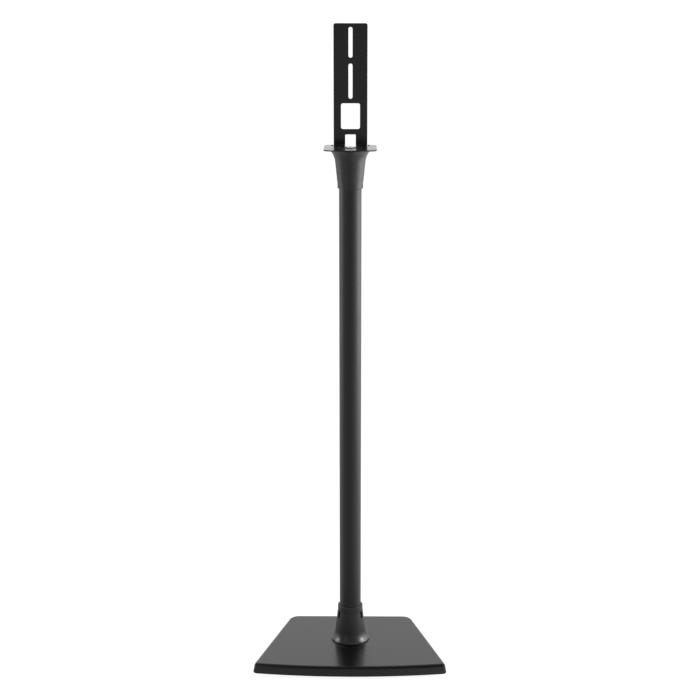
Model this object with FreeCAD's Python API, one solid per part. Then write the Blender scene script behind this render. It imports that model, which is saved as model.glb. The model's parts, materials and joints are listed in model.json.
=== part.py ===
import FreeCAD, Part
import math
import os

os.makedirs("parts", exist_ok=True)

# Speaker stand: a floor board, a pole with two trim collars and a bent speaker bracket.
# Millimetres. The floor is Z = 0, the front is towards -Y and the board's middle is over the origin.

# Board
BOARD_THICKNESS = 18.0
BOARD_DEPTH = 219.5
BOARD_FRONT_WIDTH = 343.0
BOARD_REAR_WIDTH = 225.0
BOARD_DRAFT = 2.8
BOARD_BOW = 13.0
BOARD_FRONT_CORNER_R = 7.0
BOARD_REAR_CORNER_R = 20.0
BOARD_TOP_EDGE_R = 5.0
BOARD_BOTTOM_EDGE_R = 2.0

# Rubber feet and their screws
FOOT_HEIGHT = 4.0
FOOT_SEAT_DEPTH = 1.5
FOOT_SEAT_CLEARANCE = 0.3
FOOT_TOP_R = 11.0
FOOT_BOTTOM_R = 10.0
FOOT_WEB = 2.6
FOOT_INSET_X = 31.0
FOOT_INSET_Y = 24.0

# Ballast plate let into the underside of the board
BALLAST_LENGTH = 180.0
BALLAST_WIDTH = 100.0
BALLAST_THICKNESS = 5.0
BALLAST_CORNER_R = 8.0
BALLAST_CLEARANCE = 0.5
BALLAST_SCREW_INSET = 14.0

# Wood screws: the same size holds the feet and the ballast plate
SCREW_R = 1.75
SCREW_HEAD_R = 3.5
SCREW_HEAD_HEIGHT = 2.0
SCREW_BITE = 4.5
PILOT_SPARE = 0.5

# Pole, with a wire outlet at the back near its foot
POLE_SETBACK = 12.75
POLE_R = 19.0
POLE_WALL = 1.5
POLE_LENGTH = 884.0
OUTLET_WIDTH = 8.0
OUTLET_HEIGHT = 14.0

# Threaded plugs in the pole's ends, held by flush cross pins
PLUG_HEIGHT = 24.0
PLUG_CLEARANCE = 0.05
PIN_R = 2.0
PIN_LENGTH = 9.0
FOOT_PIN_ANGLES = (-30.0, 90.0, 210.0)
HEAD_PIN_ANGLES = (-45.0, 225.0)

# Bolts and washers
BOLT_R = 3.0
BOLT_CIRCLE_R = 12.0
BOLT_SOCKET_WIDTH = 4.0
THREAD_CLEARANCE = 0.05
HOLE_CLEARANCE = 0.3
BASE_BOLT_ANGLES = (-90.0, 30.0, 150.0)
BASE_BOLT_HEAD_R = 5.25
BASE_BOLT_HEAD_HEIGHT = 3.3
BASE_BOLT_BITE = 18.0
BASE_BOLT_SOCKET_DEPTH = 2.0
BASE_BOLT_RELIEF = 0.3
WASHER_R = 9.0
WASHER_THICKNESS = 1.6
LOCK_WASHER_R = 5.4
LOCK_WASHER_THICKNESS = 1.6
LOCK_WASHER_GAP = 1.0
HEAD_BOLT_ANGLES = (-90.0, 0.0, 180.0)
HEAD_BOLT_HEAD_R = 7.0
HEAD_BOLT_HEAD_HEIGHT = 1.0
HEAD_BOLT_BITE = 16.0
HEAD_BOLT_SOCKET_DEPTH = 3.0

# Trim collars
COLLAR_LENGTH = 66.5
COLLAR_BORE_CLEARANCE = 0.3
COLLAR_WALL = 2.2
COLLAR_WEB = 2.0
COLLAR_FLARE_R = 34.5
COLLAR_LIP = 2.0
COLLAR_LIP_ROUND = 0.7
LOWER_FLARE_LENGTH = 18.0
LOWER_CONE_R = 26.7
LOWER_BAND_R = 22.3
UPPER_FLARE_LENGTH = 22.0
UPPER_CONE_R = 25.4
UPPER_BAND_R = 21.6
COLLAR_BAND_LENGTH = 12.0
COLLAR_STEP = 0.5
COLLAR_TIP_WALL = 1.0
COLLAR_TIP_CHAMFER = 1.2
RIB_THICKNESS = 2.0
RIB_START = 3.0
RIB_ANGLES = (-90.0, 30.0, 150.0)
WIRE_SLOT_WIDTH = 5.5
WIRE_SLOT_HEIGHT = 13.0
WIRE_SLOT_BOTTOM = 43.0
WIRE_SLOT_ANGLES = (-30.0, 90.0, 210.0)

# Speaker bracket: a shelf with a back plate bent up from its rear edge
SHEET = 2.0
BEND_R = 2.0
SHELF_WIDTH = 88.5
SHELF_DEPTH = 83.0
SHELF_FRONT_CORNER_R = 12.0
SHELF_REAR_CORNER_R = 7.0
RELIEF_WIDTH = 4.0
RELIEF_LENGTH = 14.0
RELIEF_STRIP = 3.0
RELIEF_SLIT = 0.4
BACK_PLATE_WIDTH = 57.0
BACK_PLATE_HEIGHT = 201.7
BACK_PLATE_CORNER_R = 3.5
SLOT_WIDTH = 6.8
UPPER_SLOT_LENGTH = 50.3
LOWER_SLOT_LENGTH = 58.3
SLOT_MARGIN = 6.2
SLOT_BAR = 9.6
WINDOW_BAR = 7.6
WINDOW_WIDTH = 32.0
WINDOW_HEIGHT = 43.0
WINDOW_CORNER_R = 3.5
NOTCH_WIDTH = 17.8
NOTCH_HEIGHT = 17.5
NOTCH_CORNER_R = 1.5
WIRE_GAP = 8.5

# Levels, places and radii that follow from the sizes above
board_top = FOOT_HEIGHT + BOARD_THICKNESS
board_front = -BOARD_DEPTH / 2
board_back = BOARD_DEPTH / 2
board_corner = board_front + BOARD_BOW
foot_seat_roof = FOOT_HEIGHT + FOOT_SEAT_DEPTH
foot_screw_seat = foot_seat_roof - FOOT_WEB
bolt_stack = WASHER_THICKNESS + LOCK_WASHER_THICKNESS + BASE_BOLT_HEAD_HEIGHT + BASE_BOLT_RELIEF
ballast_under = FOOT_HEIGHT + bolt_stack
ballast_top = ballast_under + BALLAST_THICKNESS
washer_under = ballast_under - WASHER_THICKNESS
lock_washer_under = washer_under - LOCK_WASHER_THICKNESS
pole_top = board_top + POLE_LENGTH
outlet_middle = board_top + WIRE_SLOT_BOTTOM + WIRE_SLOT_HEIGHT / 2
head_plug_under = pole_top - PLUG_HEIGHT
foot_pin_level = board_top + PLUG_HEIGHT / 2
head_pin_level = head_plug_under + PLUG_HEIGHT / 2
shelf_under = pole_top + COLLAR_WEB
shelf_top = shelf_under + SHEET
shelf_front = POLE_SETBACK - SHELF_DEPTH / 2
shelf_rear = POLE_SETBACK + SHELF_DEPTH / 2
relief_rear = shelf_rear - RELIEF_STRIP
relief_front = relief_rear - RELIEF_LENGTH
back_plate_top = shelf_top + BACK_PLATE_HEIGHT
wire_front = POLE_SETBACK + WIRE_GAP
pole_bore_r = POLE_R - POLE_WALL
plug_r = pole_bore_r - PLUG_CLEARANCE
collar_bore_r = POLE_R + COLLAR_BORE_CLEARANCE
tapped_r = BOLT_R + THREAD_CLEARANCE
bolt_hole_r = BOLT_R + HOLE_CLEARANCE
pin_hole_r = PIN_R + THREAD_CLEARANCE

foot_front_x = BOARD_FRONT_WIDTH / 2 - FOOT_INSET_X
foot_front_y = board_corner + FOOT_INSET_Y
foot_rear_x = BOARD_REAR_WIDTH / 2 - FOOT_INSET_X
foot_rear_y = board_back - FOOT_INSET_Y
foot_places = {
    "foot_front_left": (-foot_front_x, foot_front_y),
    "foot_front_right": (foot_front_x, foot_front_y),
    "foot_rear_left": (-foot_rear_x, foot_rear_y),
    "foot_rear_right": (foot_rear_x, foot_rear_y),
}
ballast_screw_x = BALLAST_LENGTH / 2 - BALLAST_SCREW_INSET
ballast_screw_y = BALLAST_WIDTH / 2 - BALLAST_SCREW_INSET
ballast_screw_places = [
    (side * ballast_screw_x, POLE_SETBACK + end * ballast_screw_y) for side in (-1, 1) for end in (-1, 1)
]


# Helpers that make and find simple shapes
def at(x, y, z):
    return FreeCAD.Vector(x, y, z)


def on_pole(z):
    """The point on the pole's axis at this height."""
    return at(0, POLE_SETBACK, z)


def outward(angle):
    """The level direction at this angle around the pole, 0 along +X and -90 at the front."""
    a = math.radians(angle)
    return at(math.cos(a), math.sin(a), 0)


def on_bolt_circle(angle, z):
    return on_pole(z) + outward(angle) * BOLT_CIRCLE_R


def rod(radius, z_low, z_high, place):
    """An upright cylinder between two heights, at the X and Y of place."""
    return Part.makeCylinder(radius, z_high - z_low, at(place[0], place[1], z_low))


def block(x, y, z):
    """A box from the low and high values along each axis."""
    return Part.makeBox(x[1] - x[0], y[1] - y[0], z[1] - z[0], at(x[0], y[0], z[0]))


def hexagon(width, z_low, z_high, place):
    """An upright hexagonal prism of this width across flats."""
    centre = at(place[0], place[1], z_low)
    corners = [centre + outward(60 * k) * (width / math.sqrt(3)) for k in range(7)]
    return Part.Face(Part.makePolygon(corners)).extrude(at(0, 0, z_high - z_low))


def level_edges(shape, z):
    """The edges that lie in the level plane at this height."""
    return [e for e in shape.Edges if max(abs(e.BoundBox.ZMin - z), abs(e.BoundBox.ZMax - z)) < 1e-6]


def upright_edges(shape, y_low, y_high):
    """The edges that stand upright, or lean a little, and start between these two Y values."""
    boxes = [(e, e.BoundBox) for e in shape.Edges]
    upright = [(e, b) for e, b in boxes if b.ZLength > 2 * max(b.XLength, b.YLength)]
    return [e for e, b in upright if y_low < b.YMin < y_high]


def edges_along_y(shape, z_low, z_high):
    """The straight edges along Y that lie between these two heights."""
    boxes = [(e, e.BoundBox) for e in shape.Edges]
    along = [(e, b) for e, b in boxes if b.XLength < 1e-6 and b.ZLength < 1e-6]
    return [e for e, b in along if z_low < b.ZMin < z_high]


# Board, feet and ballast
def rounded_plate(length, width, z_low, z_high):
    """A plate with rounded corners, centred on the pole's axis."""
    y_low = POLE_SETBACK - width / 2
    y_high = POLE_SETBACK + width / 2
    plate = block((-length / 2, length / 2), (y_low, y_high), (z_low, z_high))
    return plate.makeFillet(BALLAST_CORNER_R, upright_edges(plate, y_low - 1, y_high + 1))


def make_board():
    """A trapezium with a bowed front, its sides leaning in and rounded, with its recesses and holes."""
    front_left = at(-BOARD_FRONT_WIDTH / 2, board_corner, FOOT_HEIGHT)
    front_right = at(BOARD_FRONT_WIDTH / 2, board_corner, FOOT_HEIGHT)
    rear_left = at(-BOARD_REAR_WIDTH / 2, board_back, FOOT_HEIGHT)
    rear_right = at(BOARD_REAR_WIDTH / 2, board_back, FOOT_HEIGHT)
    outline = [
        Part.Arc(front_left, at(0, board_front, FOOT_HEIGHT), front_right).toShape(),
        Part.makeLine(front_right, rear_right),
        Part.makeLine(rear_right, rear_left),
        Part.makeLine(rear_left, front_left),
    ]
    lower = Part.Wire(outline)
    upper = lower.makeOffset2D(-BOARD_DRAFT, 2)
    upper.translate(at(0, 0, BOARD_THICKNESS))
    board = Part.makeLoft([lower, upper], True, True)
    board = board.makeFillet(BOARD_FRONT_CORNER_R, upright_edges(board, board_front, 0))
    board = board.makeFillet(BOARD_REAR_CORNER_R, upright_edges(board, 0, board_back + 1))
    board = board.makeFillet(BOARD_TOP_EDGE_R, level_edges(board, board_top))
    board = board.makeFillet(BOARD_BOTTOM_EDGE_R, level_edges(board, FOOT_HEIGHT))
    gap = 2 * BALLAST_CLEARANCE
    cuts = [rounded_plate(BALLAST_LENGTH + gap, BALLAST_WIDTH + gap, 0, ballast_top)]
    for angle in BASE_BOLT_ANGLES:
        cuts.append(rod(bolt_hole_r, ballast_under, board_top, on_bolt_circle(angle, 0)))
    pilot_r = SCREW_R + THREAD_CLEARANCE
    pilot_depth = SCREW_BITE + PILOT_SPARE
    for place in ballast_screw_places:
        cuts.append(rod(pilot_r, ballast_under, ballast_top + pilot_depth, place))
    for place in foot_places.values():
        cuts.append(rod(FOOT_TOP_R + FOOT_SEAT_CLEARANCE, 0, foot_seat_roof, place))
        cuts.append(rod(pilot_r, 0, foot_seat_roof + pilot_depth, place))
    return board.cut(cuts)


def make_foot(place):
    """A tapered rubber foot with a sunk hole for its screw."""
    foot = Part.makeCone(FOOT_BOTTOM_R, FOOT_TOP_R, foot_seat_roof, at(place[0], place[1], 0))
    sink = rod(SCREW_HEAD_R + HOLE_CLEARANCE, 0, foot_screw_seat, place)
    return foot.cut([sink, rod(SCREW_R + HOLE_CLEARANCE, 0, foot_seat_roof, place)])


def make_screw(place, seat, tip):
    """A pan-head wood screw driven upwards, its head under the seat and its point at the tip."""
    head = rod(SCREW_HEAD_R, seat - SCREW_HEAD_HEIGHT, seat, place)
    return head.fuse(rod(SCREW_R, seat, tip, place)).removeSplitter()


def make_ballast():
    plate = rounded_plate(BALLAST_LENGTH, BALLAST_WIDTH, ballast_under, ballast_top)
    holes = [
        rod(bolt_hole_r, ballast_under, ballast_top, on_bolt_circle(angle, 0)) for angle in BASE_BOLT_ANGLES
    ]
    for place in ballast_screw_places:
        holes.append(rod(SCREW_R + HOLE_CLEARANCE, ballast_under, ballast_top, place))
    return plate.cut(holes)


# Bolts and washers under the board
def make_base_bolt(place):
    head = rod(BASE_BOLT_HEAD_R, lock_washer_under - BASE_BOLT_HEAD_HEIGHT, lock_washer_under, place)
    shank = rod(BOLT_R, lock_washer_under, board_top + BASE_BOLT_BITE, place)
    head_under = lock_washer_under - BASE_BOLT_HEAD_HEIGHT
    socket = hexagon(BOLT_SOCKET_WIDTH, head_under, head_under + BASE_BOLT_SOCKET_DEPTH, place)
    return head.fuse(shank).removeSplitter().cut(socket)


def make_washer(place):
    ring = rod(WASHER_R, washer_under, ballast_under, place)
    return ring.cut(rod(bolt_hole_r, washer_under, ballast_under, place))


def make_lock_washer(place):
    """A split ring, pressed flat, with its gap towards +X."""
    ring = rod(LOCK_WASHER_R, lock_washer_under, washer_under, place)
    ring = ring.cut(rod(bolt_hole_r, lock_washer_under, washer_under, place))
    half = LOCK_WASHER_GAP / 2
    x = (place[0], place[0] + LOCK_WASHER_R)
    return ring.cut(block(x, (place[1] - half, place[1] + half), (lock_washer_under, washer_under)))


# Pole and its plugs
def make_pin(angle, z, radius, length):
    """A level pin or its hole, from inside the pole out to the pole's outer face."""
    start = on_pole(z) + outward(angle) * (POLE_R - length)
    return Part.makeCylinder(radius, length + POLE_WALL, start, outward(angle))


def make_flush_pin(angle, z):
    return make_pin(angle, z, PIN_R, PIN_LENGTH).common(rod(POLE_R, z - POLE_R, z + POLE_R, on_pole(0)))


def make_plug(z_low, bolt_angles, pin_angles):
    """A threaded plug with its tapped holes and pin holes."""
    plug = rod(plug_r, z_low, z_low + PLUG_HEIGHT, on_pole(0))
    holes = [rod(tapped_r, z_low, z_low + PLUG_HEIGHT, on_bolt_circle(a, 0)) for a in bolt_angles]
    holes += [make_pin(a, z_low + PLUG_HEIGHT / 2, pin_hole_r, PIN_LENGTH) for a in pin_angles]
    return plug.cut(holes)


def make_pole():
    """The tube, with its pin holes and a round-ended wire outlet at the back."""
    tube = rod(POLE_R, board_top, pole_top, on_pole(0))
    cuts = [rod(pole_bore_r, board_top, pole_top, on_pole(0))]
    cuts += [make_pin(a, foot_pin_level, pin_hole_r, PIN_LENGTH) for a in FOOT_PIN_ANGLES]
    cuts += [make_pin(a, head_pin_level, pin_hole_r, PIN_LENGTH) for a in HEAD_PIN_ANGLES]
    half = OUTLET_WIDTH / 2
    reach = OUTLET_HEIGHT / 2 - half
    y = (POLE_SETBACK, POLE_SETBACK + POLE_R)
    cuts.append(block((-half, half), y, (outlet_middle - reach, outlet_middle + reach)))
    for z in (outlet_middle - reach, outlet_middle + reach):
        cuts.append(Part.makeCylinder(half, POLE_R, on_pole(z), at(0, 1, 0)))
    return tube.cut(cuts)


# Trim collars, drawn with the flare on Z = 0 and the tip upwards
def tangent_arc(start, end, slope):
    """An arc in the XZ plane that leaves start along a slope (X gained per unit of -Z) and ends at end."""
    chord = end - start
    turn = math.atan2(chord.x, -chord.z) - math.atan(slope)
    lean = math.atan(slope) + turn / 2
    reach = chord.Length / (2 * math.cos(turn / 2))
    middle = start + at(reach * math.sin(lean), 0, -reach * math.cos(lean))
    return Part.Arc(start, middle, end).toShape()


def flare_edges(flare_length, cone_r, cone_end_r, inset, top_r):
    """The flare and cone of a collar's profile, drawn in from the outer face by inset, up to top_r."""
    cone_top = COLLAR_LENGTH - COLLAR_BAND_LENGTH
    slope = (cone_r - cone_end_r) / (cone_top - flare_length)
    lip = at(COLLAR_FLARE_R - inset, 0, COLLAR_LIP)
    waist = at(cone_r - inset, 0, flare_length)
    return [
        Part.makeLine(at(0, 0, 0), at(lip.x, 0, 0)),
        Part.makeLine(at(lip.x, 0, 0), lip),
        tangent_arc(waist, lip, slope),
        Part.makeLine(waist, at(top_r, 0, cone_top)),
    ]


def turned(edges, top):
    """The solid turned from a profile whose last point is joined to the axis at height top."""
    wire = Part.Wire(Part.__sortEdges__(edges + [Part.makeLine(at(0, 0, top), edges[0].Vertexes[0].Point)]))
    return Part.Face(wire).revolve(at(0, 0, 0), at(0, 0, 1), 360)


def make_collar(flare_length, cone_r, band_r, web):
    """A ribbed collar shell: flare, cone and band, with a floor of thickness web, or none at 0."""
    cone_top = COLLAR_LENGTH - COLLAR_BAND_LENGTH
    tip_r = collar_bore_r + COLLAR_TIP_WALL
    chamfer_low = COLLAR_LENGTH - COLLAR_TIP_CHAMFER
    step_r = band_r + COLLAR_STEP
    outside = flare_edges(flare_length, cone_r, step_r, 0, step_r)
    path = [
        at(step_r, 0, cone_top),
        at(band_r, 0, cone_top),
        at(band_r, 0, chamfer_low),
        at(tip_r, 0, COLLAR_LENGTH),
        at(0, 0, COLLAR_LENGTH),
    ]
    outside += [Part.makeLine(a, b) for a, b in zip(path, path[1:])]
    body = turned(outside, COLLAR_LENGTH)
    body = body.makeFillet(COLLAR_LIP_ROUND, level_edges(body, 0) + level_edges(body, COLLAR_LIP))
    hollow_r = max(step_r - COLLAR_WALL, collar_bore_r)
    hollow = flare_edges(flare_length, cone_r, step_r, COLLAR_WALL, hollow_r)
    hollow.append(Part.makeLine(at(hollow_r, 0, cone_top), at(0, 0, cone_top)))
    bore = Part.makeCylinder(collar_bore_r, COLLAR_LENGTH)
    shell = body.cut([turned(hollow, cone_top), bore])
    if web:
        shell = shell.fuse(Part.makeCylinder(COLLAR_FLARE_R, web).common(body))
    half = RIB_THICKNESS / 2
    for angle in RIB_ANGLES:
        rib = block((0, COLLAR_FLARE_R), (-half, half), (RIB_START, cone_top))
        rib.rotate(at(0, 0, 0), at(0, 0, 1), angle)
        shell = shell.fuse(rib.common(body).cut(bore))
    return shell.removeSplitter()


def make_lower_collar():
    """The collar on the board, with its three wire slots."""
    collar = make_collar(LOWER_FLARE_LENGTH, LOWER_CONE_R, LOWER_BAND_R, 0)
    half = WIRE_SLOT_WIDTH / 2
    z = (WIRE_SLOT_BOTTOM, WIRE_SLOT_BOTTOM + WIRE_SLOT_HEIGHT)
    for angle in WIRE_SLOT_ANGLES:
        slot = block((0, COLLAR_FLARE_R), (-half, half), z)
        slot.rotate(at(0, 0, 0), at(0, 0, 1), angle)
        collar = collar.cut(slot)
    collar.translate(on_pole(board_top))
    return collar


def make_upper_collar():
    """The collar under the shelf, upside down, its web clamped between the pole and the shelf."""
    collar = make_collar(UPPER_FLARE_LENGTH, UPPER_CONE_R, UPPER_BAND_R, COLLAR_WEB)
    collar.rotate(at(0, 0, 0), at(1, 0, 0), 180)
    collar.translate(on_pole(shelf_under))
    holes = [rod(bolt_hole_r, pole_top, shelf_under, on_bolt_circle(a, 0)) for a in HEAD_BOLT_ANGLES]
    return collar.cut(holes + [wire_way(pole_top, shelf_under)])


def wire_way(z_low, z_high):
    """The passage for the wires behind the bolts, inside the pole's bore."""
    half = NOTCH_WIDTH / 2
    behind = block((-half, half), (wire_front, wire_front + POLE_R), (z_low, z_high))
    return behind.common(rod(pole_bore_r, z_low, z_high, on_pole(0)))


# Head of the stand
def make_head_plug():
    """The upper plug, flattened at the back so that the wires pass."""
    plug = make_plug(head_plug_under, HEAD_BOLT_ANGLES, HEAD_PIN_ANGLES)
    return plug.cut(block((-POLE_R, POLE_R), (wire_front, wire_front + POLE_R), (head_plug_under, pole_top)))


def make_head_bolt(place):
    """A furniture bolt with a wide flat head and a hexagon socket."""
    head_top = shelf_top + HEAD_BOLT_HEAD_HEIGHT
    head = rod(HEAD_BOLT_HEAD_R, shelf_top, head_top, place)
    shank = rod(BOLT_R, pole_top - HEAD_BOLT_BITE, shelf_top, place)
    socket = hexagon(BOLT_SOCKET_WIDTH, head_top - HEAD_BOLT_SOCKET_DEPTH, head_top, place)
    return head.fuse(shank).removeSplitter().cut(socket)


def slot_cut(z_low, z_high):
    """A round-ended upright slot through the back plate."""
    half = SLOT_WIDTH / 2
    y = (shelf_rear - 2 * SHEET, shelf_rear + SHEET)
    z = (z_low + half, z_high - half)
    ends = [Part.makeCylinder(half, y[1] - y[0], at(0, y[0], level), at(0, 1, 0)) for level in z]
    return block((-half, half), y, z).fuse(ends)


def make_shelf():
    """The shelf, with its bend reliefs and the strip between them left out for the bend."""
    half = SHELF_WIDTH / 2
    shelf = block((-half, half), (shelf_front, shelf_rear), (shelf_under, shelf_top))
    shelf = shelf.makeFillet(SHELF_FRONT_CORNER_R, upright_edges(shelf, shelf_front - 1, shelf_front + 1))
    shelf = shelf.makeFillet(SHELF_REAR_CORNER_R, upright_edges(shelf, shelf_rear - 1, shelf_rear + 1))
    relief = BACK_PLATE_WIDTH / 2 + RELIEF_WIDTH
    slit = BACK_PLATE_WIDTH / 2 + RELIEF_SLIT
    wide = block((-relief, relief), (relief_front, relief_rear), (shelf_under, shelf_top))
    return shelf.cut([wide, block((-slit, slit), (relief_rear, shelf_rear), (shelf_under, shelf_top))])


def make_back_plate():
    """The back plate with its bend and the short strip of shelf in front of the bend."""
    y_in = shelf_rear - SHEET
    y_bend = y_in - BEND_R
    z_bend = shelf_top + BEND_R
    swing = math.sqrt(0.5)
    inner = BEND_R * swing
    outer = (BEND_R + SHEET) * swing
    x = -BACK_PLATE_WIDTH / 2
    corners = {
        "under": at(x, relief_front, shelf_under),
        "bend_under": at(x, y_bend, shelf_under),
        "bend_rear": at(x, shelf_rear, z_bend),
        "rear": at(x, shelf_rear, back_plate_top),
        "face": at(x, y_in, back_plate_top),
        "bend_face": at(x, y_in, z_bend),
        "bend_top": at(x, y_bend, shelf_top),
        "top": at(x, relief_front, shelf_top),
    }
    outer_middle = at(x, y_bend + outer, z_bend - outer)
    inner_middle = at(x, y_bend + inner, z_bend - inner)
    profile = [
        Part.makeLine(corners["under"], corners["bend_under"]),
        Part.Arc(corners["bend_under"], outer_middle, corners["bend_rear"]).toShape(),
        Part.makeLine(corners["bend_rear"], corners["rear"]),
        Part.makeLine(corners["rear"], corners["face"]),
        Part.makeLine(corners["face"], corners["bend_face"]),
        Part.Arc(corners["bend_face"], inner_middle, corners["bend_top"]).toShape(),
        Part.makeLine(corners["bend_top"], corners["top"]),
        Part.makeLine(corners["top"], corners["under"]),
    ]
    plate = Part.Face(Part.Wire(profile)).extrude(at(BACK_PLATE_WIDTH, 0, 0))
    top_corners = edges_along_y(plate, back_plate_top - 1, back_plate_top + 1)
    return plate.makeFillet(BACK_PLATE_CORNER_R, top_corners)


def make_bracket():
    """Shelf and back plate in one sheet, with the slots, the window, the wire notch and the bolt holes."""
    sheet = make_shelf().fuse(make_back_plate()).removeSplitter()
    upper_top = back_plate_top - SLOT_MARGIN
    lower_top = upper_top - UPPER_SLOT_LENGTH - SLOT_BAR
    window_top = lower_top - LOWER_SLOT_LENGTH - WINDOW_BAR
    cuts = [
        slot_cut(upper_top - UPPER_SLOT_LENGTH, upper_top),
        slot_cut(lower_top - LOWER_SLOT_LENGTH, lower_top),
    ]
    half = WINDOW_WIDTH / 2
    y = (shelf_rear - 2 * SHEET, shelf_rear + SHEET)
    window = block((-half, half), y, (window_top - WINDOW_HEIGHT, window_top))
    cuts.append(window.makeFillet(WINDOW_CORNER_R, edges_along_y(window, shelf_top, back_plate_top)))
    half = NOTCH_WIDTH / 2
    z = (shelf_under - 1, shelf_top + NOTCH_HEIGHT)
    notch = block((-half, half), (wire_front, shelf_rear + SHEET), z)
    notch = notch.makeFillet(NOTCH_CORNER_R, edges_along_y(notch, shelf_top, back_plate_top))
    cuts.append(notch.makeFillet(NOTCH_CORNER_R, upright_edges(notch, wire_front - 1, wire_front + 1)))
    for angle in HEAD_BOLT_ANGLES:
        cuts.append(rod(bolt_hole_r, shelf_under, shelf_top, on_bolt_circle(angle, 0)))
    return sheet.cut(cuts)


# All pieces by name: fasteners of one kind are kept together as a group of separate solids
def group(shapes):
    return Part.makeCompound(list(shapes))


base_bolt_places = [on_bolt_circle(a, 0) for a in BASE_BOLT_ANGLES]
head_bolt_places = [on_bolt_circle(a, 0) for a in HEAD_BOLT_ANGLES]
foot_tip = foot_seat_roof + SCREW_BITE
ballast_tip = ballast_top + SCREW_BITE
pieces = {
    "base_board": make_board(),
    "ballast_plate": make_ballast(),
    "ballast_screws": group(make_screw(p, ballast_under, ballast_tip) for p in ballast_screw_places),
    "foot_screws": group(make_screw(p, foot_screw_seat, foot_tip) for p in foot_places.values()),
    "base_bolts": group(make_base_bolt(p) for p in base_bolt_places),
    "base_washers": group(make_washer(p) for p in base_bolt_places),
    "base_lock_washers": group(make_lock_washer(p) for p in base_bolt_places),
    "pole_tube": make_pole(),
    "foot_plug": make_plug(board_top, BASE_BOLT_ANGLES, FOOT_PIN_ANGLES),
    "foot_plug_pins": group(make_flush_pin(a, foot_pin_level) for a in FOOT_PIN_ANGLES),
    "head_plug": make_head_plug(),
    "head_plug_pins": group(make_flush_pin(a, head_pin_level) for a in HEAD_PIN_ANGLES),
    "lower_collar": make_lower_collar(),
    "upper_collar": make_upper_collar(),
    "speaker_bracket": make_bracket(),
    "head_bolts": group(make_head_bolt(p) for p in head_bolt_places),
}
for foot_name, foot_place in foot_places.items():
    pieces[foot_name] = make_foot(foot_place)

for name, shape in pieces.items():
    shape.exportStep(f"parts/{name}.step")
    print(name, len(shape.Solids), "solid(s)", round(shape.Volume / 1000, 2), "cm3")
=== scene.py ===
# %% [markdown]
# # A speaker stand, from the imported solids to a studio picture
# The stand is a floor board, a round pole with a flared trim collar at each end, and a bent steel bracket.
# The CAD solids are loaded first. They fix every size, and nothing below moves them.

# %% Load the solids
import json
import math

import bpy
import numpy as np
from mathutils.geometry import delaunay_2d_cdt
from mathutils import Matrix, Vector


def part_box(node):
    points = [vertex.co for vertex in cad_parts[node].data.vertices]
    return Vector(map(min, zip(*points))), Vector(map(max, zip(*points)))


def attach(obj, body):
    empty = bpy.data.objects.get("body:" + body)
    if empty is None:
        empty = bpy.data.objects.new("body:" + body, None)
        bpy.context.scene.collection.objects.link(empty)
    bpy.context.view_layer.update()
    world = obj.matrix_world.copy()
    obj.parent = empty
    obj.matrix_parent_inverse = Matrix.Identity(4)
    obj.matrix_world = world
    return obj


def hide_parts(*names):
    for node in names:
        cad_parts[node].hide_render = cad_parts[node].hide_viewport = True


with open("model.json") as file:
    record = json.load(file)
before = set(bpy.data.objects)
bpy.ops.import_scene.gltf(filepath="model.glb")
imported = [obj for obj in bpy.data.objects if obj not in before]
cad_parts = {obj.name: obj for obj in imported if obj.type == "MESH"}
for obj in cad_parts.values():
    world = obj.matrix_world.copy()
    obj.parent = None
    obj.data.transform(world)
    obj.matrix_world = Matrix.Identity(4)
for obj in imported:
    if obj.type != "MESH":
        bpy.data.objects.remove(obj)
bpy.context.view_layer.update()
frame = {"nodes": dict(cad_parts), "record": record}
scene = bpy.context.scene
scene.view_settings.view_transform = "Standard"

# %% [markdown]
# ## The camera
# A camera can be found from a picture when a few things in it are known to be round, upright or level.
# The pole gets narrower towards its foot, and the foot of the lower collar is a circle that shows as an ellipse.
# Together they give the distance, the height and the tilt used here.
# The lens is written as a focal length in pixels of a 700 pixel picture and turned into millimetres on a sensor.

# %% Camera
pole_low, pole_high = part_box("pole_tube")
board_low, board_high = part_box("base_board")
pole_y = (pole_low.y + pole_high.y) / 2
board_top = board_high.z

PICTURE_PX = 700
SENSOR_MM = 36.0
FOCAL_PX = 1480.0
TILT = math.radians(14.3)
TURN = math.radians(0.45)
DISTANCE = 2.479
RISE = 1.1709
SIDE_STEP = 0.0005

camera_data = bpy.data.cameras.new("camera")
camera_data.sensor_width = SENSOR_MM
camera_data.lens = FOCAL_PX / PICTURE_PX * SENSOR_MM
camera = bpy.data.objects.new("camera", camera_data)
camera.location = (
    DISTANCE * math.sin(TURN) - SIDE_STEP,
    pole_y - DISTANCE * math.cos(TURN),
    board_top + RISE,
)
camera.rotation_euler = (math.pi / 2 - TILT, 0, TURN)
scene.collection.objects.link(camera)
scene.camera = camera
print("camera at", [round(v, 3) for v in camera.location], "lens", round(camera_data.lens, 1), "mm")

# %% [markdown]
# ## Writing shader nodes as sums
# A material is a graph of nodes. Placing nodes by hand hides the idea behind them, so a small class wraps a socket.
# Adding or multiplying two wrapped sockets then adds the Math node that does it.
# Every other kind of node comes from one method that takes its type, its settings and its inputs.

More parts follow.
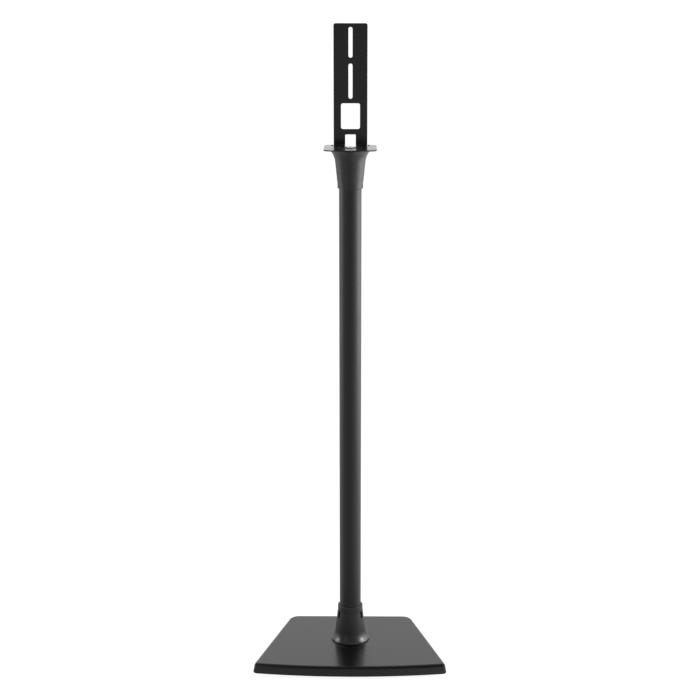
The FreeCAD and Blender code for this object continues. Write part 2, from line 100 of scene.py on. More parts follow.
# %% A wrapped socket
class Wire:
    """A node socket that can be used in a Python expression."""

    def __init__(self, tree, socket):
        self.tree = tree
        self.socket = socket

    def node(self, kind, settings=None, **inputs):
        """Adds a node of this kind, sets its settings first, then its input values or links by socket name."""
        made = self.tree.nodes.new(kind)
        for name, value in (settings or {}).items():
            setattr(made, name, value)
        for name, value in inputs.items():
            key = int(name[1:]) if name[0] == "i" and name[1:].isdigit() else name.replace("_", " ")
            if isinstance(value, Wire):
                self.tree.links.new(value.socket, made.inputs[key])
            else:
                made.inputs[key].default_value = value
        return made

    def out(self, kind, output=0, settings=None, **inputs):
        """The same, wrapped at one of the node's outputs."""
        return Wire(self.tree, self.node(kind, settings, **inputs).outputs[output])

    def math(self, operation, other, swap=False):
        a, b = (other, self) if swap else (self, other)
        return self.out("ShaderNodeMath", settings={"operation": operation}, i0=a, i1=b)

    def __add__(self, other):
        return self.math("ADD", other)

    __radd__ = __add__

    def __mul__(self, other):
        return self.math("MULTIPLY", other)

    __rmul__ = __mul__

    def __sub__(self, other):
        return self.math("SUBTRACT", other)

    def __rsub__(self, other):
        return self.math("SUBTRACT", other, swap=True)

    def ramp(self, low, high):
        """0 below low, 1 above high, and a smooth step between."""
        return self.out(
            "ShaderNodeMapRange",
            settings={"interpolation_type": "SMOOTHSTEP"},
            Value=self, From_Min=low, From_Max=high,
        )

    def mix(self, dark, light):
        """A colour that goes from dark to light as this value goes from 0 to 1."""
        return self.out(
            "ShaderNodeMix", output=2, settings={"data_type": "RGBA"}, i0=self, i6=dark, i7=light
        )


def start_material(name):
    """A new material: its shader, and the point on the surface in metres as a wrapped socket."""
    material = bpy.data.materials.new(name)
    material.use_nodes = True
    shader = material.node_tree.nodes["Principled BSDF"]
    coordinates = material.node_tree.nodes.new("ShaderNodeTexCoord")
    return material, shader, Wire(material.node_tree, coordinates.outputs["Object"])


def connect(shader, **inputs):
    """Links wrapped sockets to a shader's inputs, or sets plain values on them."""
    for name, value in inputs.items():
        socket = shader.inputs[name.replace("_", " ")]
        if isinstance(value, Wire):
            value.tree.links.new(value.socket, socket)
        else:
            socket.default_value = value


print("shader helper ready")

# %% [markdown]
# ## Black finishes
# Everything in sight is black, so the finishes differ in gloss and in the small bumps of their surface.
# Each finish is one row of a table, with its colour, the size and height of its grain, and its roughness.
# Two layers of noise are used: one as fine as the grain, and a wide one for the slow change that light shows up.
# The collars are satin on their cone and smoother on their flare, where the light of the lamps gathers.

# %% Noise helpers
def bumps(place, grain, height):
    """A normal from noise: cells of about grain metres, with height metres from hollow to crest."""
    noise = place.out(
        "ShaderNodeTexNoise", settings={"noise_dimensions": "3D"},
        Vector=place, Scale=1 / grain, Detail=2.0, Roughness=0.55,
    )
    return noise, place.out("ShaderNodeBump", Height=noise, Distance=height, Strength=1.0)


def blotches(place, size):
    """A slow noise from 0 to 1, with patches of about this size in metres."""
    noise = place.out("ShaderNodeTexNoise", Vector=place, Scale=1 / size, Detail=3.0, Roughness=0.5)
    return noise.ramp(0.3, 0.7)


print("noise helpers:", bumps.__name__, "and", blotches.__name__)

# %% Black coats
CONE_R, FLARE_R = 0.0255, 0.03
CONE_ROUGHNESS, FLARE_ROUGHNESS = 0.44, 0.3
BLOTCH, SHADE = 0.05, 0.12


def collar_roughness(place):
    """Satin on a collar's cone and smoother out on its flare, from the distance to the pole's axis."""
    split = place.node("ShaderNodeSeparateXYZ", i0=place)
    x = Wire(place.tree, split.outputs["X"])
    y = Wire(place.tree, split.outputs["Y"]) - pole_y
    distance = (x * x + y * y).math("POWER", 0.5)
    return CONE_ROUGHNESS - (CONE_ROUGHNESS - FLARE_ROUGHNESS) * distance.ramp(CONE_R, FLARE_R)


def black_coat(name, colour, grain, height, roughness, spread):
    """A black coat: fine bumps, and a colour and gloss that drift a little over the surface.

    The roughness is a number, or a function of the place on the surface.
    """
    material, shader, place = start_material(name)
    if callable(roughness):
        roughness = roughness(place)
    grains, normal = bumps(place, grain, height)
    drift = blotches(place, BLOTCH)
    dark = tuple((1 - SHADE) * c for c in colour) + (1,)
    light = tuple((1 + SHADE) * c for c in colour) + (1,)
    connect(
        shader,
        Base_Color=(0.6 * drift + 0.4 * grains).mix(dark, light),
        Roughness=roughness + spread * (drift - 0.5) + spread * (grains - 0.5),
        Normal=normal,
    )
    return material


coats = {
    # slot: material, colour, grain and bump height in metres, roughness, and how far the roughness drifts
    "pole_black": ("powder_coat_satin", (0.011, 0.011, 0.0114), 0.0011, 0.000012, 0.44, 0.06),
    "bracket_black": ("powder_coat_smooth", (0.016, 0.016, 0.0165), 0.0006, 0.000008, 0.2, 0.05),
    "collar_black": ("moulded_plastic", (0.024, 0.024, 0.0245), 0.0005, 0.000006, collar_roughness, 0.05),
    "board_black": ("board_film", (0.008, 0.008, 0.0085), 0.0009, 0.0000015, 0.23, 0.03),
    "bolt_black": ("black_oxide", (0.014, 0.014, 0.0145), 0.0008, 0.000006, 0.25, 0.06),
    "rubber_black": ("moulded_rubber", (0.022, 0.022, 0.022), 0.0007, 0.00003, 0.7, 0.1),
}
finishes = {slot: black_coat(*coat) for slot, coat in coats.items()}
print("black finishes:", sorted(finishes))

# %% Bare and plated steel
CLOUD = 0.012


def plain_metal(name, dark, light, grain, height, roughness, spread):
    """A metal: cloudy brightness, fine tooling bumps and uneven gloss."""
    material, shader, place = start_material(name)
    grains, normal = bumps(place, grain, height)
    drift = blotches(place, CLOUD)
    connect(
        shader,
        Base_Color=drift.mix(dark + (1,), light + (1,)),
        Metallic=1.0,
        Roughness=roughness + spread * (drift - 0.5) + spread * (grains - 0.5),
        Normal=normal,
    )
    return material


metals = {
    # slot: material, dark and light colour, grain and bump height in metres, roughness, and how far it drifts
    "steel": ("hot_rolled_steel", (0.2, 0.2, 0.21), (0.3, 0.3, 0.3), 0.0012, 0.00002, 0.45, 0.15),
    "zinc_plated": ("zinc_plate", (0.5, 0.51, 0.53), (0.62, 0.62, 0.62), 0.0006, 0.000004, 0.28, 0.1),
}
finishes.update({slot: plain_metal(*metal) for slot, metal in metals.items()})
print("metals:", sorted(metals))

# %% Dress the solids
slot_of = {part["node"]: part["material_slot"] for part in frame["record"]["subparts"]}
for name, slot in slot_of.items():
    node = frame["nodes"][name]
    node.data.materials.clear()
    node.data.materials.append(finishes[slot])
print("dressed:", len(slot_of), "nodes")

# %% [markdown]
# ## The bracket
# On the real stand the shelf and the back plate are one steel sheet, cut flat, eased along its edges and bent once.
# Two joined boxes would have hard edges and a false seam in the corner.
# So the sheet is made as a workshop makes it. Its outlines are drawn flat, and a rounded rim follows each of them.
# Triangles fill both faces between the rims, and one bending formula carries every point to its place.
# A point of the flat sheet is one complex number: its place across the sheet, and its place along it times i.
# Turning a direction is then one multiplication.

# %% Outlines with rounded corners
MM = 0.001


def rounded(corners, radii, steps=9):
    """A closed outline with an arc at each corner, and the direction to the left at each of its points.

    An arc of radius r that turns by t starts r tan(t / 2) before its corner.
    Its points are its centre plus the arm to its start, turned in equal steps up to t.
    """
    here = np.asarray(corners, float) @ (1, 1j)
    ahead = np.roll(here, -1) - here
    ahead /= np.abs(ahead)
    before = np.roll(ahead, 1)
    turn = np.angle(ahead / before)
    start = here - before * radii * np.abs(np.tan(turn / 2))
    centre = start + 1j * before * np.sign(turn) * radii
    swing = np.exp(1j * turn[:, None] * np.linspace(0, 1, steps))
    points = (centre[:, None] + (start - centre)[:, None] * swing).ravel()
    left = (1j * before[:, None] * swing).ravel()
    fresh = np.abs(points - np.roll(points, 1)) > 1e-6
    return points[fresh], left[fresh]


def opening(half_width, low, high, radius):
    """A hole's outline, drawn clockwise so that the sheet is on its left as it is along the outer edge."""
    corners = [(-half_width, low), (-half_width, high), (half_width, high), (half_width, low)]
    return rounded(corners, np.full(4, radius))


def with_levels(points, left, levels):
    """The same outline, with more points where its straight runs cross these levels along the sheet."""
    run = np.roll(points, -1) - points
    with np.errstate(divide="ignore", invalid="ignore"):
        share = (levels[:, None] - points.imag) / run.imag
    row, start = np.nonzero((share > 1e-6) & (share < 1 - 1e-6))
    place = np.sort(np.concatenate([np.arange(len(points)), start + share[row, start]]))
    count = np.arange(len(points) + 1)
    return tuple(np.interp(place, count, np.append(values, values[0])) for values in (points, left))


print("points on a round hole's outline:", len(opening(1.0, -1.0, 1.0, 1.0)[0]))

# %% The sheet's sizes in millimetres
bracket_low, bracket_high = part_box("speaker_bracket")
SHEET, BEND_R, EASE = 2.0, 2.0, 0.4
shelf_half = bracket_high.x / MM
shelf_front, shelf_rear = bracket_low.y / MM, bracket_high.y / MM
pole_at = pole_y / MM
middle_r = BEND_R + SHEET / 2
bend_line = shelf_rear - SHEET - BEND_R
bend_levels = bend_line + middle_r * np.linspace(0, math.pi / 2, 13)
arc_centre = bracket_low.z / MM + SHEET + BEND_R
sheet_end = bend_levels[-1] + bracket_high.z / MM - arc_centre
TONGUE_HALF, RELIEF, SLIT = 28.5, 4.0, 0.4
RELIEF_SETBACK, RELIEF_LENGTH = 3.0, 14.0
relief_rear = shelf_rear - RELIEF_SETBACK
relief_front = relief_rear - RELIEF_LENGTH

SHELF_FRONT_R, SHELF_REAR_R, RELIEF_R, PLATE_R = 12.0, 7.0, 0.5, 3.5
SLOT_HALF, UPPER_SLOT, LOWER_SLOT = 3.4, 50.3, 58.3
SLOT_TOP_GAP, SLOT_GAP, WINDOW_GAP = 6.2, 9.6, 7.6
WINDOW_HALF, WINDOW_HEIGHT, WINDOW_R = 16.0, 43.0, 3.5
NOTCH_HALF, NOTCH_FRONT, NOTCH_TOP, NOTCH_R = 8.9, 8.5, 17.5, 1.5
BOLT_CIRCLE, BOLT_HOLE_R = 12.0, 3.3
print("sheet, flat:", round(2 * shelf_half, 2), "by", round(sheet_end - shelf_front, 2), "mm")


# %% All its outlines
def mirrored(corners):
    """The right half of an outline, from its front to its rear, with its left half added in reverse."""
    right = np.asarray(corners, float)
    return np.concatenate([right, right[::-1] * (-1, 1)])


def sheet_outlines():
    """The outer edge and every opening: two bolt slots, the window, the wire notch and three bolt holes."""
    relief = TONGUE_HALF + RELIEF
    slit = TONGUE_HALF + SLIT
    edge = [
        (shelf_half, shelf_front), (shelf_half, shelf_rear), (slit, shelf_rear), (slit, relief_rear),
        (relief, relief_rear), (relief, relief_front), (TONGUE_HALF, relief_front), (TONGUE_HALF, sheet_end),
    ]
    radii = np.array([SHELF_FRONT_R, SHELF_REAR_R] + 5 * [RELIEF_R] + [PLATE_R])
    upper = sheet_end - SLOT_TOP_GAP
    lower = upper - UPPER_SLOT - SLOT_GAP
    window = lower - LOWER_SLOT - WINDOW_GAP
    notch_top = bend_levels[-1] + NOTCH_TOP - BEND_R
    bolts = BOLT_CIRCLE * np.array([(0, -1), (-1, 0), (1, 0)]) + (0.0, pole_at)
    ring, ring_left = opening(BOLT_HOLE_R, -BOLT_HOLE_R, BOLT_HOLE_R, BOLT_HOLE_R)
    return [
        rounded(mirrored(edge), np.concatenate([radii, radii[::-1]])),
        opening(SLOT_HALF, upper - UPPER_SLOT, upper, SLOT_HALF),
        opening(SLOT_HALF, lower - LOWER_SLOT, lower, SLOT_HALF),
        opening(WINDOW_HALF, window - WINDOW_HEIGHT, window, WINDOW_R),
        opening(NOTCH_HALF, pole_at + NOTCH_FRONT, notch_top, NOTCH_R),
    ] + [(ring + place, ring_left) for place in bolts @ (1, 1j)]


outlines = [with_levels(points, left, bend_levels) for points, left in sheet_outlines()]
print("outlines:", len(outlines), "points:", sum(len(points) for points, left in outlines))


# %% [markdown]
# The rim is a small profile carried along every outline: a quarter circle from the upper face, the cut edge, and a
# quarter circle to the lower face. Its first and last rows are the borders of the two faces.
# The faces are filled by a triangulation that keeps given lines. It also fills the holes, so each triangle's middle
# is tested: the outlines' angles, seen from it, add up to one full turn only inside the sheet.

# %% Rim, faces and bend
def rim_rows(points, left, half, ease, steps=4):
    """Rows from the upper face round the edge to the lower face, as flat points, heights and their normals.

    With b from 0 to 90 degrees, a row lies ease (1 - sin b) inside the outline and half - ease + ease cos b up.
    The rows of the lower half are the same with the height and the normal turned over.
    """
    b = np.linspace(0, math.pi / 2, steps)
    out = np.concatenate([np.sin(b), np.sin(b)[::-1]])
    lift = np.concatenate([np.cos(b), -np.cos(b)[::-1]])
    height = np.sign(lift + np.repeat([0.1, -0.1], steps)) * (half - ease) + ease * lift
    flat = points[:, None] + left[:, None] * ease * (1 - out)
    return flat, np.broadcast_to(height, flat.shape), -left[:, None] * out, np.broadcast_to(lift, flat.shape)


def fill_faces(border, following, levels):
    """Triangles between the closed outlines of border, with lines kept across the bend at each level."""
    count = np.arange(len(border))
    on_level = np.abs(border.imag - levels[:, None]) < 1e-6
    row, column = np.nonzero(on_level & (np.abs(border.real) < TONGUE_HALF))
    across = column[np.lexsort((border.real[column], row))].reshape(-1, 2)
    lines = np.concatenate([np.stack([count, following], axis=1), across])
    flat = list(zip(border.real.tolist(), border.imag.tolist()))
    made = delaunay_2d_cdt(flat, lines.tolist(), [], 0, 1e-7)
    source = np.array([origin[0] for origin in made[3]])
    triangles = source[np.array(made[2])]
    middle = border[triangles].mean(axis=1)[:, None]
    turns = np.angle((border[following] - middle) / (border - middle)).sum(axis=1) / (2 * math.pi)
    return triangles[turns > 0.5]


def bend(flat, height, normal, lift):
    """Carries points and normals of the flat sheet to their place on the bracket, in metres.

    Up to the bend line the sheet is level. Past it, the angle is the length past the line over the middle radius R,
    at most 90 degrees, and a point that is h above the sheet's middle is R - h from the arc's centre.
    What is left of the length goes straight up. The wings beside the back plate stay level.
    """
    past = np.where(np.abs(flat.real) < TONGUE_HALF + SLIT / 2, flat.imag - bend_line, 0.0)
    angle = np.clip(past / middle_r, 0, math.pi / 2)
    arm = middle_r - height
    y = np.where(past > 0, bend_line, flat.imag) + np.sin(angle) * arm
    z = arc_centre - np.cos(angle) * arm + np.maximum(past - middle_r * math.pi / 2, 0)
    points = np.stack([flat.real, y, z], axis=-1) * MM
    normal_y = normal.imag * np.cos(angle) - lift * np.sin(angle)
    normal_z = normal.imag * np.sin(angle) + lift * np.cos(angle)
    return points.reshape(-1, 3), np.stack([normal.real, normal_y, normal_z], axis=-1).reshape(-1, 3)


print("rim rows on each outline:", rim_rows(*outlines[0], SHEET / 2, EASE)[0].shape[1])


# %% Adding a piece
def add_piece(name, points, faces, normals, node, body):
    """A piece made from arrays of points and faces, with its own normals, in place of a CAD node."""
    mesh = bpy.data.meshes.new(name)
    mesh.from_pydata(points.tolist(), [], faces)
    mesh.polygons.foreach_set("use_smooth", np.ones(len(mesh.polygons), bool))
    mesh.normals_split_custom_set_from_vertices(normals.tolist())
    mesh.materials.append(finishes[slot_of[node]])
    piece = bpy.data.objects.new(name, mesh)
    scene.collection.objects.link(piece)
    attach(piece, body)
    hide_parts(node)
    print(name, "faces:", len(mesh.polygons))
    return piece


print("helper ready:", add_piece.__name__)


# %% The bracket
def make_bracket():
    """The rim rows of all outlines as one grid, closed along each outline, and a face above and below."""
    parts = [rim_rows(points, left, SHEET / 2, EASE) for points, left in outlines]
    flat, height, normal, lift = (np.concatenate(columns) for columns in zip(*parts))
    sizes = [len(points) for points, left in outlines]
    firsts = np.cumsum([0] + sizes[:-1])
    following = np.concatenate([first + np.roll(np.arange(size), -1) for first, size in zip(firsts, sizes)])
    triangles = fill_faces(flat[:, 0], following, bend_levels)
    rows = flat.shape[1]
    corner = np.arange(flat.size).reshape(-1, rows)
    beside = corner[following]
    rim = np.stack([corner[:, :-1], corner[:, 1:], beside[:, 1:], beside[:, :-1]], axis=-1).reshape(-1, 4)
    points, normals = bend(flat, height, normal, lift)
    faces = rim.tolist() + (triangles * rows).tolist() + (triangles[:, ::-1] * rows + rows - 1).tolist()
    return add_piece("bracket_sheet", points, faces, normals, "speaker_bracket", "stand")


bracket = make_bracket()

# %% [markdown]
# ## The bolts on the shelf
# Three furniture bolts hold the bracket to the pole. They have wide flat heads and hexagon sockets.
# A turned part is a profile carried round its axis. A socket isn't round, so each profile point has one more number:
# 0 where its ring is a circle, 1 where it is a hexagon, and something between where one turns into the other.

# %% Turned pieces
FACE_DEPTH = 1.0


def ring_radius(angle, radius, hexagon):
    """The distance from the axis: radius, or radius / cos(angle from the middle of a flat) on a hexagon."""
    off_flat = np.mod(angle + math.pi / 6, math.pi / 3) - math.pi / 6
    return radius * (1 - hexagon + hexagon / np.cos(off_flat))


def turned(profile, places, facing=1, ring=False, recess=None, count=72):
    """Copies of a turned part: points on an angle by profile grid, quads, and a flat cap at each end.

    A profile point is its radius, its height and its hexagon share, from the top outwards and then down.
    Facing -1 turns the part over, half a turn about X. A ring's profile is closed and has no caps.
    A recess is a function of the place on the part's face and gives the depth to take away there.
    It is taken from the points that are less than the face depth below the top.
    Each normal is the sum of its faces' normals, each as long as the face is large, so flat faces stay flat.
    """
    radius, height, hexagon = np.asarray(profile, float).T
    angle = np.linspace(0, 2 * math.pi, count, endpoint=False)[:, None]
    far = ring_radius(angle, radius, hexagon)
    x, y = far * np.cos(angle), far * np.sin(angle)
    z = height - (recess(x, y) * (height > -FACE_DEPTH) if recess else np.zeros_like(x))
    grid = np.stack([x, y, z], axis=-1) * (1, facing, facing)
    points = ((grid.reshape(1, -1, 3) + np.asarray(places, float)[:, None]) * MM).reshape(-1, 3)
    corner = np.arange(len(points)).reshape(-1, count, len(radius))
    rows = np.concatenate([corner, corner[..., :1]], axis=-1) if ring else corner
    beside = np.roll(rows, -1, axis=1)
    quads = np.stack([rows[..., :-1], rows[..., 1:], beside[..., 1:], beside[..., :-1]], axis=-1).reshape(-1, 4)
    a, b, c, d = np.moveaxis(points[quads], 1, 0)
    normals = np.zeros_like(points)
    np.add.at(normals, quads, np.cross(c - a, d - b)[:, None])
    faces = quads.tolist()
    if not ring:
        caps = np.concatenate([corner[:, :, 0], corner[:, ::-1, -1]])
        spokes = points[caps] - points[caps].mean(axis=1, keepdims=True)
        np.add.at(normals, caps, np.cross(spokes, np.roll(spokes, -1, axis=1)).sum(axis=1, keepdims=True))
        faces += caps.tolist()
    return points, faces, normals / np.linalg.norm(normals, axis=1, keepdims=True)


print("a hexagon's corner is", round(float(ring_radius(math.pi / 6, 1.0, 1.0)), 4), "times as far as its flat")


# %% Head bolts
HEX_WIDTH, HEAD_SOCKET_DEPTH = 4.0, 3.0
HEAD_R, HEAD_HEIGHT, HEAD_EASE, HEAD_CHAMFER = 7.0, 1.0, 0.35, 0.15
SHANK_R = 3.0


def eased(radius, height, size, steps=6):
    """A quarter circle of this size that rounds an edge, from the top face outwards and down to the side."""
    b = np.linspace(0, math.pi / 2, steps)
    return np.stack([radius - size + size * np.sin(b), height - size + size * np.cos(b), np.zeros(steps)], axis=1)


def hex_socket(width, depth):
    """The profile of a hexagon socket of this width across its flats, from its floor to its eased mouth."""
    half = width / 2
    return [
        (0.1 * half, -depth, 0), (0.985 * half, -depth, 1), (half, 0.1 - depth, 1), (half, -0.3, 1),
        (1.15 * half, -0.04, 0.5), (1.25 * half, 0.0, 0),
    ]


def shank(radius, start, end):
    """The profile of a plain shank below a head, with a small hollow under the head and an eased tip."""
    return [(radius + 0.2, start, 0), (radius, start - 0.2, 0), (radius, end + 0.6, 0), (radius - 0.5, end, 0)]


def around_pole(angles, distance, z):
    """Places at these angles around the pole's axis, in millimetres."""
    a = np.radians(angles)
    return np.stack([distance * np.cos(a), pole_at + distance * np.sin(a), np.full(len(a), z)], axis=1)


bolt_low, bolt_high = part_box("head_bolts")
bolt_length = (bolt_high.z - bolt_low.z) / MM
head_profile = np.concatenate([
    hex_socket(HEX_WIDTH, HEAD_SOCKET_DEPTH), eased(HEAD_R, 0.0, HEAD_EASE),
    [(HEAD_R, HEAD_CHAMFER - HEAD_HEIGHT, 0), (HEAD_R - HEAD_CHAMFER, -HEAD_HEIGHT, 0)],
    shank(SHANK_R, -HEAD_HEIGHT, -bolt_length),
])
head_places = around_pole([-90, 0, 180], BOLT_CIRCLE, bolt_high.z / MM)
bracket_bolts = add_piece("bracket_bolts", *turned(head_profile, head_places), "head_bolts", "stand")

# %% [markdown]
# ## Under the board
# Nobody sees the underside until the stand is carried, but a part in a library is turned over and looked at.
# The bolts there have domed heads, the washers are stamped rings with eased edges, and the feet are moulded rings.
# All of them are turned profiles again, this time facing down.

# %% Base bolts and washers
BASE_ANGLES = [-90, 30, 150]
BASE_SOCKET_DEPTH = 2.0
DOME_R, DOME_FLAT_R, DOME_DROP, DOME_HEIGHT, DOME_CHAMFER = 5.25, 3.2, 2.6, 3.3, 0.2
WASHER_BORE_R, WASHER_R, WASHER_EASE = 3.3, 9.0, 0.3


def domed(radius, flat, drop, steps=9):
    """An arc from the edge of a flat top out to the head's side, where it has come down by drop."""
    b = np.linspace(0, math.pi / 2, steps)
    reach = radius - flat
    return np.stack([flat + reach * np.sin(b), drop * (np.cos(b) - 1), np.zeros(steps)], axis=1)


def washer(inner, outer, thickness, ease):
    """The closed profile of a flat ring whose four edges are eased, from its top outwards and round."""
    dip = 0.3 * ease
    top = [(inner + ease, 0, 0), (outer - ease, 0, 0), (outer - dip, -dip, 0), (outer, -ease, 0)]
    low = [(outer, ease - thickness, 0), (outer - dip, dip - thickness, 0), (outer - ease, -thickness, 0)]
    hole = [(inner + ease, -thickness, 0), (inner, ease - thickness, 0), (inner, -ease, 0)]
    return top + low + hole


bolt_low, bolt_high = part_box("base_bolts")
base_profile = np.concatenate([
    hex_socket(HEX_WIDTH, BASE_SOCKET_DEPTH), domed(DOME_R, DOME_FLAT_R, DOME_DROP),
    [(DOME_R, DOME_CHAMFER - DOME_HEIGHT, 0), (DOME_R - DOME_CHAMFER, -DOME_HEIGHT, 0)],
    shank(SHANK_R, -DOME_HEIGHT, -(bolt_high.z - bolt_low.z) / MM),
])
base_places = around_pole(BASE_ANGLES, BOLT_CIRCLE, bolt_low.z / MM)
add_piece("board_bolts", *turned(base_profile, base_places, facing=-1), "base_bolts", "stand")

washer_low, washer_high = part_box("base_washers")
washer_places = around_pole(BASE_ANGLES, BOLT_CIRCLE, washer_high.z / MM)
washer_profile = washer(WASHER_BORE_R, WASHER_R, (washer_high.z - washer_low.z) / MM, WASHER_EASE)
add_piece("board_washers", *turned(washer_profile, washer_places, ring=True), "base_washers", "stand")

# %% [markdown]
# The wood screws have pan heads with a cross recess. A cross isn't a turned shape either, so it is taken away
# afterwards: at every point of the face, the depth follows from how far the point is inside one of the two arms.

# %% Wood screws
CROSS_DEPTH, ARM_HALF_WIDTH, ARM_HALF_LENGTH = 1.1, 0.45, 1.8
PAN_R, PAN_HEIGHT, PAN_FLAT_R, PAN_DROP, PAN_CHAMFER = 3.5, 2.0, 2.2, 0.95, 0.15
SCREW_R, SCREW_TIP_R, SCREW_TAPER = 1.75, 0.3, 1.8


def cross_recess(x, y):
    """The depth of a cross recess: full inside either of its two arms, 0 well outside, and a smooth step between."""
    def inside(distance, half):
        share = np.clip((1.15 * half - np.abs(distance)) / (0.3 * half), 0, 1)
        return share * share * (3 - 2 * share)
    arm = inside(x, ARM_HALF_WIDTH) * inside(y, ARM_HALF_LENGTH)
    other_arm = inside(y, ARM_HALF_WIDTH) * inside(x, ARM_HALF_LENGTH)
    return CROSS_DEPTH * np.maximum(arm, other_arm)


def flat_rings(first, last, count):
    """Close rings on a flat face, so that a recess has points to follow."""
    radius = np.linspace(first, last, count)
    return np.stack([radius, np.zeros(count), np.zeros(count)], axis=1)


def screw_profile(length):
    """A pan head on a shank of this length, head included, that tapers to a point."""
    return np.concatenate([
        flat_rings(0.06, PAN_FLAT_R, 30), domed(PAN_R, PAN_FLAT_R, PAN_DROP)[1:],
        [(PAN_R, PAN_CHAMFER - PAN_HEIGHT, 0), (PAN_R - PAN_CHAMFER, -PAN_HEIGHT, 0)],
        [(SCREW_R + 0.2, -PAN_HEIGHT, 0), (SCREW_R, -PAN_HEIGHT - 0.2, 0)],
        [(SCREW_R, SCREW_TAPER - length, 0), (SCREW_TIP_R, -length, 0)],
    ])


screw_low, screw_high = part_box("ballast_screws")
reach = screw_high.x / MM - PAN_R
screw_length = (screw_high.z - screw_low.z) / MM
rear = screw_high.y / MM - PAN_R - pole_at
screw_places = [(x, pole_at + y, screw_low.z / MM) for x in (-reach, reach) for y in (-rear, rear)]
ballast_screws = turned(screw_profile(screw_length), screw_places, facing=-1, recess=cross_recess, count=96)
add_piece("plate_screws", *ballast_screws, "ballast_screws", "stand")

# %% Feet and their screws
FEET = ["foot_front_left", "foot_front_right", "foot_rear_left", "foot_rear_right"]


def foot_profile(top):
    """A moulded foot: a cone that widens upwards, two grooves in its tread and a sunk hole for its screw."""
    side = np.array([(10.95, top - 0.35, 0), (10.18, 1.0, 0), (10.0, 0.45, 0), (9.75, 0.15, 0), (9.3, 0.0, 0)])
    groove = np.array([
        (0.6, 0.0, 0), (0.4, 0.15, 0), (0.3, 0.45, 0), (-0.3, 0.45, 0), (-0.4, 0.15, 0), (-0.6, 0.0, 0),
    ])
    hole = [(4.4, 0.0, 0), (4.0, 0.12, 0), (3.8, 0.45, 0), (3.8, 2.9, 0), (2.05, 2.9, 0)]
    return np.concatenate([
        [(2.05, top, 0), (10.65, top, 0), (10.85, top - 0.1, 0)], side,
        groove + (8.0, 0, 0), groove + (6.0, 0, 0), hole,
    ])


foot_boxes = {name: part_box(name) for name in FEET}
foot_places = {name: ((low + high) / 2 / MM)[:2] for name, (low, high) in foot_boxes.items()}
for name, (low, high) in foot_boxes.items():
    place = [(*foot_places[name], 0.0)]
    add_piece(name.replace("foot", "tread"), *turned(foot_profile(high.z / MM), place, ring=True), name, "stand")

screw_low, screw_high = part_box("foot_screws")
screw_length = (screw_high.z - screw_low.z) / MM
screw_places = [(*place, screw_low.z / MM) for place in foot_places.values()]
foot_screws = turned(screw_profile(screw_length), screw_places, facing=-1, recess=cross_recess, count=96)
add_piece("tread_screws", *foot_screws, "foot_screws", "stand")

# %% [markdown]
# ## Floor and light
# The stand is shown on white. A white that comes from light alone would also flood the black parts.
# So the floor is mostly a plain glow that only the camera and mirror-like rays see, and a smaller part of it is matt.
# The matt part takes the shadow. In mirrors the glow holds painted light: dimmer in front and on the left.

# %% Floor
def make_floor(size, count=9):
    """A flat square grid of this size in metres, centred under the object, at the level of the feet."""
    across = np.linspace(-size / 2, size / 2, count)
    x, y = np.meshgrid(across, across, indexing="ij")
    points = np.stack([x, y, np.zeros_like(x)], axis=-1).reshape(-1, 3)
    corner = np.arange(count * count).reshape(count, count)
    quads = np.stack([corner[:-1, :-1], corner[1:, :-1], corner[1:, 1:], corner[:-1, 1:]], axis=-1)
    mesh = bpy.data.meshes.new("floor")
    mesh.from_pydata(points.tolist(), [], quads.reshape(-1, 4).tolist())
    floor = bpy.data.objects.new("floor", mesh)
    scene.collection.objects.link(floor)
    return floor


def glow_with_painted_light(place):
    """1 for camera rays; for mirrored rays a glow with painted light, painted shade in front of the stand and on its
    left; 0 for soft light.
    """
    rays = place.node("ShaderNodeLightPath")
    camera_ray = Wire(place.tree, rays.outputs["Is Camera Ray"])
    glossy_ray = Wire(place.tree, rays.outputs["Is Glossy Ray"])
    clear_ray = Wire(place.tree, rays.outputs["Is Transmission Ray"])
    split = place.node("ShaderNodeSeparateXYZ", i0=place)
    # painted shade: the floor's glow in mirrors is dimmer in front of the stand
    painted_front_shade = 0.37 + 0.36 * Wire(place.tree, split.outputs["Y"]).ramp(-0.32, 0.12)
    # painted light: the floor's glow in mirrors is brighter on the stand's right, towards the main lamps
    painted_light_from_right = 0.9 + 0.6 * Wire(place.tree, split.outputs["X"]).ramp(-0.05, 0.35)
    painted_mirror_glow = glossy_ray.math("MAXIMUM", clear_ray) * painted_front_shade * painted_light_from_right
    return camera_ray.math("MAXIMUM", painted_mirror_glow)


floor = make_floor(160.0)
floor_paint, floor_shader, floor_place = start_material("floor_white_painted_light")
connect(
    floor_shader,
    Base_Color=(0.2, 0.2, 0.2, 1),
    Roughness=0.9,
    Specular_IOR_Level=0.0,
    Emission_Color=glow_with_painted_light(floor_place).mix((0, 0, 0, 1), (1, 1, 1, 1)),
    Emission_Strength=0.93,
)
floor.data.materials.append(floor_paint)
print("floor:", floor.dimensions.x, "m wide")

# %% [markdown]
# The room is a soft tent: bright behind the stand and dim on the camera's side.
# A black surface shows only what it mirrors, so this uneven tent is what shapes the pole and the collars.
# A real softbox is brightest in its middle and fades towards its rim. A hard rim would draw a hard line on the pole.
# So each lamp has a small node tree that fades it from the middle outwards.

# %% Room
world = bpy.data.worlds.new("room")
scene.world = world
world.use_nodes = True
room = world.node_tree.nodes["Background"]
direction = Wire(world.node_tree, world.node_tree.nodes.new("ShaderNodeTexCoord").outputs["Generated"])
split = direction.node("ShaderNodeSeparateXYZ", i0=direction)
towards_back = Wire(world.node_tree, split.outputs["Y"])
camera_only = Wire(world.node_tree, direction.node("ShaderNodeLightPath").outputs["Is Camera Ray"])
tent = 0.2 + towards_back.ramp(-0.2, 0.75)
connect(room, Color=(1, 1, 1, 1), Strength=camera_only + (1 - camera_only) * tent)
print("room nodes:", len(world.node_tree.nodes))


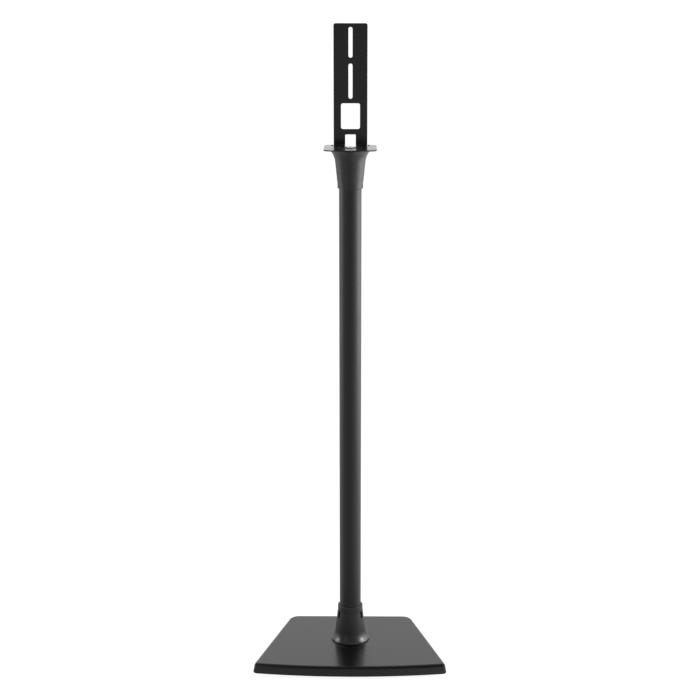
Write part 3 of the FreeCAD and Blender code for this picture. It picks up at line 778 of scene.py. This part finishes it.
# %% Lamps
def fade_rim(data, part):
    """Fades a lamp over this part of its width and height, with a smooth step in from each side."""
    data.use_nodes = True
    tree = data.node_tree
    place = Wire(tree, tree.nodes.new("ShaderNodeNewGeometry").outputs["Parametric"])
    split = place.node("ShaderNodeSeparateXYZ", i0=place)
    across = Wire(tree, split.outputs["X"])
    up = Wire(tree, split.outputs["Y"])
    inside = across.ramp(0.0, part) * across.ramp(1.0, 1.0 - part) * up.ramp(0.0, part) * up.ramp(1.0, 1.0 - part)
    connect(tree.nodes["Emission"], Strength=inside)


def soft_lamp(name, place, aim, size, brightness, rim):
    """A rectangular lamp of this width and height, turned to face a point, whose middle has this brightness."""
    data = bpy.data.lights.new(name, "AREA")
    data.shape = "RECTANGLE"
    data.size, data.size_y = size
    data.energy = math.pi * data.size * data.size_y * brightness
    fade_rim(data, rim)
    lamp = bpy.data.objects.new(name, data)
    lamp.location = place
    offset = np.subtract(aim, place)
    flat = math.hypot(offset[0], offset[1])
    lamp.rotation_euler = (
        math.pi / 2 + math.atan2(offset[2], flat), 0, math.atan2(offset[1], offset[0]) - math.pi / 2
    )
    lamp.visible_camera = False
    scene.collection.objects.link(lamp)
    return lamp


foot = (0, pole_y, 0.03)
side_lamps = [
    soft_lamp("right_panel", (1.3, 0.1, 0.5), (0, 0.1, 0.5), size=(2.8, 1.4), brightness=3.4, rim=0.45),
    soft_lamp("left_panel", (-1.3, 0.25, 0.5), (0, 0.25, 0.5), size=(1.5, 1.4), brightness=1.25, rim=0.45),
    soft_lamp("right_key", (2.6, -0.06, 1.35), foot, size=(1.3, 1.3), brightness=18.0, rim=0.3),
    soft_lamp("left_key", (-2.6, 0.1, 1.35), foot, size=(1.0, 1.2), brightness=12.0, rim=0.3),
]
soft_lamp("front_strip", (-0.95, -1.5, 1.0), (0, pole_y, 1.0), size=(0.5, 2.4), brightness=1.0, rim=0.35)
print("lamps:", [lamp.name for lamp in bpy.data.lights])

# %% [markdown]
# The board and the bracket are flat and glossy, so from the side they would mirror a lamp as one white sheet.
# A studio keeps a lamp off such a surface with a dark card, called a flag. Light linking does the same here:
# the lamps at the sides leave out the pieces of one collection.

# %% Flags
def keep_off(lamps, pieces):
    """Keeps these lamps from lighting these pieces, as a dark card between them would."""
    shaded = bpy.data.collections.new("shaded_from_the_sides")
    for piece in pieces:
        shaded.objects.link(piece)
    for entry in shaded.collection_objects:
        entry.light_linking.link_state = "EXCLUDE"
    for lamp in lamps:
        lamp.light_linking.receiver_collection = shaded


keep_off(side_lamps, [frame["nodes"]["base_board"], bracket, bracket_bolts])
